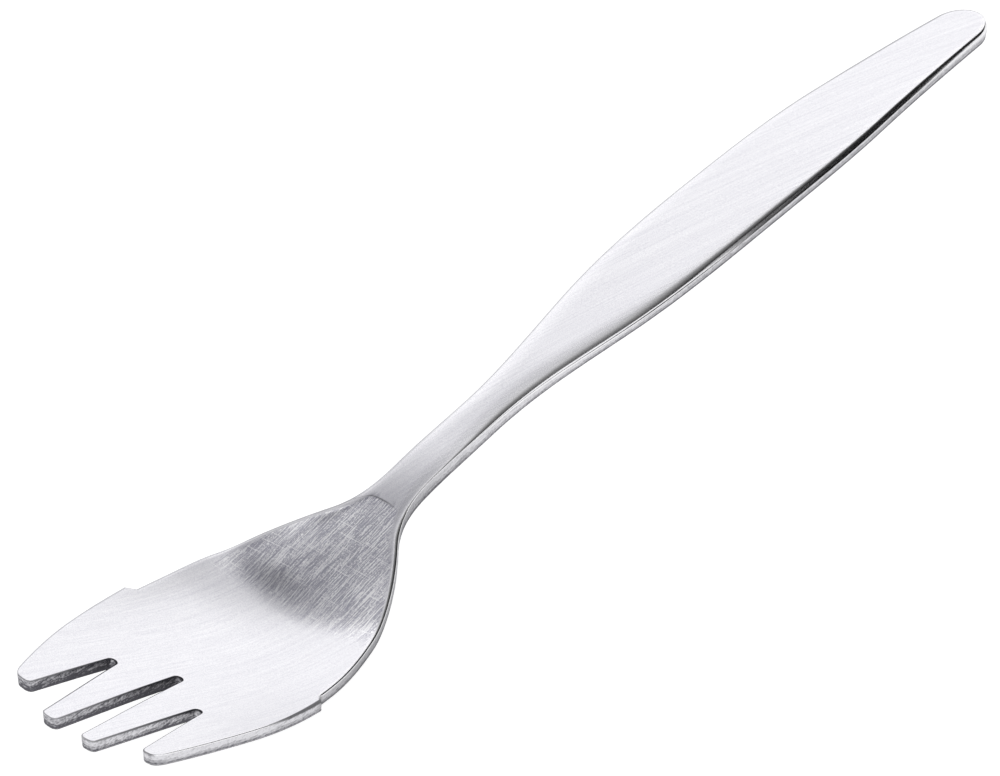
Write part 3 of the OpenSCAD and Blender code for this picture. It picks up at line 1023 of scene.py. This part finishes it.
# %% [markdown]
# Steel shows its surroundings, so lighting it means choosing what stands around it. Around the horizon the
# room is white, and overhead it is dim and a little blue, which darkens the ramp of the bowl. The dim part
# leans towards the fork's far side.

# %% Room
WALL = (1.0, 1.0, 1.01)
CEILING = (0.24, 0.24, 0.265)
WALL_TOP, CEILING_FROM = 0.61, 1.06
DIM_AXIS = (-0.11, 0.16, 1.0)

world = bpy.data.worlds.new("room")
bpy.context.scene.world = world
world.use_nodes = True
tree = world.node_tree
look = node(tree, "ShaderNodeTexCoord").outputs["Generated"]
lean = node(tree, "ShaderNodeVectorMath", operation="DOT_PRODUCT")
lean.inputs[1].default_value = DIM_AXIS
link(tree, look, lean.inputs[0])
dim = node(tree, "ShaderNodeMapRange", interpolation_type="SMOOTHSTEP")
dim.inputs["From Min"].default_value = WALL_TOP
dim.inputs["From Max"].default_value = CEILING_FROM
link(tree, lean.outputs["Value"], dim.inputs["Value"])
paint = node(tree, "ShaderNodeMix", data_type="RGBA")
paint.inputs["A"].default_value = (*WALL, 1)
paint.inputs["B"].default_value = (*CEILING, 1)
link(tree, dim.outputs[0], paint.inputs["Factor"])
link(tree, paint.outputs["Result"], tree.nodes["Background"].inputs["Color"])
tree.nodes["Background"].inputs["Strength"].default_value = 1.0
print("room: white walls under a dim ceiling")

# %% [markdown]
# One broad soft lamp stands low behind the fork and makes its flats bright.

# %% Lamp
LAMP_SIZE = (2.6, 1.5)
LAMP_LEVEL = 0.18
LAMP_FROM, LAMP_DISTANCE = (30, 24), 1.7


def direction(azimuth, elevation):
    """Unit vector: azimuth from +X towards +Y, elevation above the table, in degrees."""
    a, e = math.radians(azimuth), math.radians(elevation)
    return Vector((math.cos(a) * math.cos(e), math.sin(a) * math.cos(e), math.sin(e)))


def facing_fork(thing, away, distance):
    thing.location = away * distance
    thing.rotation_euler = away.to_track_quat("Z", "Y").to_euler()


lamp_data = bpy.data.lights.new("soft_lamp", "AREA")
lamp_data.shape = "RECTANGLE"
lamp_data.size, lamp_data.size_y = LAMP_SIZE
lamp_data.energy = 4 * LAMP_SIZE[0] * LAMP_SIZE[1] * LAMP_LEVEL
lamp = bpy.data.objects.new("soft_lamp", lamp_data)
bpy.context.scene.collection.objects.link(lamp)
facing_fork(lamp, direction(*LAMP_FROM), LAMP_DISTANCE)
print("lamp:", round(lamp_data.energy, 2), "W")

# %% [markdown]
# A photographer holds something black beside shiny steel, and its reflection draws the dark edge lines.
# Here a curved black screen stands to the fork's left, a metre away, and fades to grey at its top, so that
# the dark line has a soft upper side. Each row of it has an elevation, a left and a right azimuth, and a
# glow. The steepest part of the roll looks down at the ground, so a black sheet lies there too, beside
# the rear half of the handle: a painted shade, standing for ground that lies in shade. The camera sees
# neither of them, and they cast no shadow.

# %% Black screen and black sheet
SCREEN = [
    (-8, -48, 4, 0), (16, -49, 4, 0), (21, -60, 4, 0.01), (26, -62, 3, 0.04), (31, -64, 2, 0.08),
    (36, -66, 0, 0.12), (42, -66, 0, 0.17), (47, -66, -1, 0.24), (52, -64, -3, 0.38), (57, -62, -4, 0.74),
]
SCREEN_PARTS = 8
SHADE_SHEET = [(0.015, -1.2), (1.2, -1.2), (1.2, 0.28), (0.045, -0.0155), (0.015, -0.0165)]
SHADE_SHEET_HEIGHT = 0.0004

corners, glows, patches = [], [], []
for elevation, left, right, glow in SCREEN:
    for k in range(SCREEN_PARTS + 1):
        corners.append(direction(mix(left, right, k / SCREEN_PARTS), elevation))
        glows.append(glow)
row_size = SCREEN_PARTS + 1
for i in range(len(SCREEN) - 1):
    for a in range(i * row_size, i * row_size + SCREEN_PARTS):
        patches.append((a, a + 1, a + 1 + row_size, a + row_size))
# The painted shade sheet on the ground, beside the rear half of the handle.
patches.append(tuple(range(len(corners), len(corners) + len(SHADE_SHEET))))
corners += [(x, y, SHADE_SHEET_HEIGHT) for x, y in SHADE_SHEET]
glows += [0] * len(SHADE_SHEET)

screen_mesh = bpy.data.meshes.new("black_screen")
screen_mesh.from_pydata(corners, [], patches)
screen_mesh.attributes.new("glow", "FLOAT", "POINT").data.foreach_set("value", glows)
screen = bpy.data.objects.new("black_screen", screen_mesh)
bpy.context.scene.collection.objects.link(screen)
screen.visible_camera = False
screen.visible_diffuse = False
screen.visible_shadow = False

black = bpy.data.materials.new("black_screen")
black.use_nodes = True
tree = black.node_tree
shader = tree.nodes["Principled BSDF"]
shader.inputs["Base Color"].default_value = (0.01, 0.01, 0.01, 1)
shader.inputs["Specular IOR Level"].default_value = 0.0
shader.inputs["Emission Color"].default_value = (1, 1, 1, 1)
link(tree, mark(tree, "glow"), shader.inputs["Emission Strength"])
screen_mesh.materials.append(black)
print("black screen:", len(patches), "patches")

# %% [markdown]
# The camera stands where the photographer stood. Its place was found by matching the fork's outline with
# the photo: 42 degrees above the table, half turned towards the tines, with a long lens.

# %% Camera
AZIMUTH, ELEVATION, TILT = math.radians(-53.166), math.radians(41.848), math.radians(1.111)
AIM = Vector((-0.011884, 0, 0.006859))
DISTANCE = 0.427733
LENS = 157.463

level = Vector((math.cos(AZIMUTH), math.sin(AZIMUTH), 0))
back = Vector((
    math.sin(AZIMUTH) * math.cos(ELEVATION), -math.cos(AZIMUTH) * math.cos(ELEVATION), math.sin(ELEVATION),
))
upright_axis = back.cross(level)
right_axis = level * math.cos(TILT) + upright_axis * math.sin(TILT)
up_axis = upright_axis * math.cos(TILT) - level * math.sin(TILT)
camera_data = bpy.data.cameras.new("camera")
camera_data.sensor_fit = "HORIZONTAL"
camera_data.sensor_width = 36.0
camera_data.lens = LENS
camera_data.clip_start, camera_data.clip_end = 0.01, 20.0
camera = bpy.data.objects.new("camera", camera_data)
bpy.context.scene.collection.objects.link(camera)
turn_to_fork = Matrix((right_axis, up_axis, back)).transposed().to_4x4()
camera.matrix_world = Matrix.Translation(AIM + back * DISTANCE) @ turn_to_fork
bpy.context.scene.camera = camera
bpy.context.scene.view_settings.view_transform = "Standard"
print("camera:", [round(c, 3) for c in camera.location])
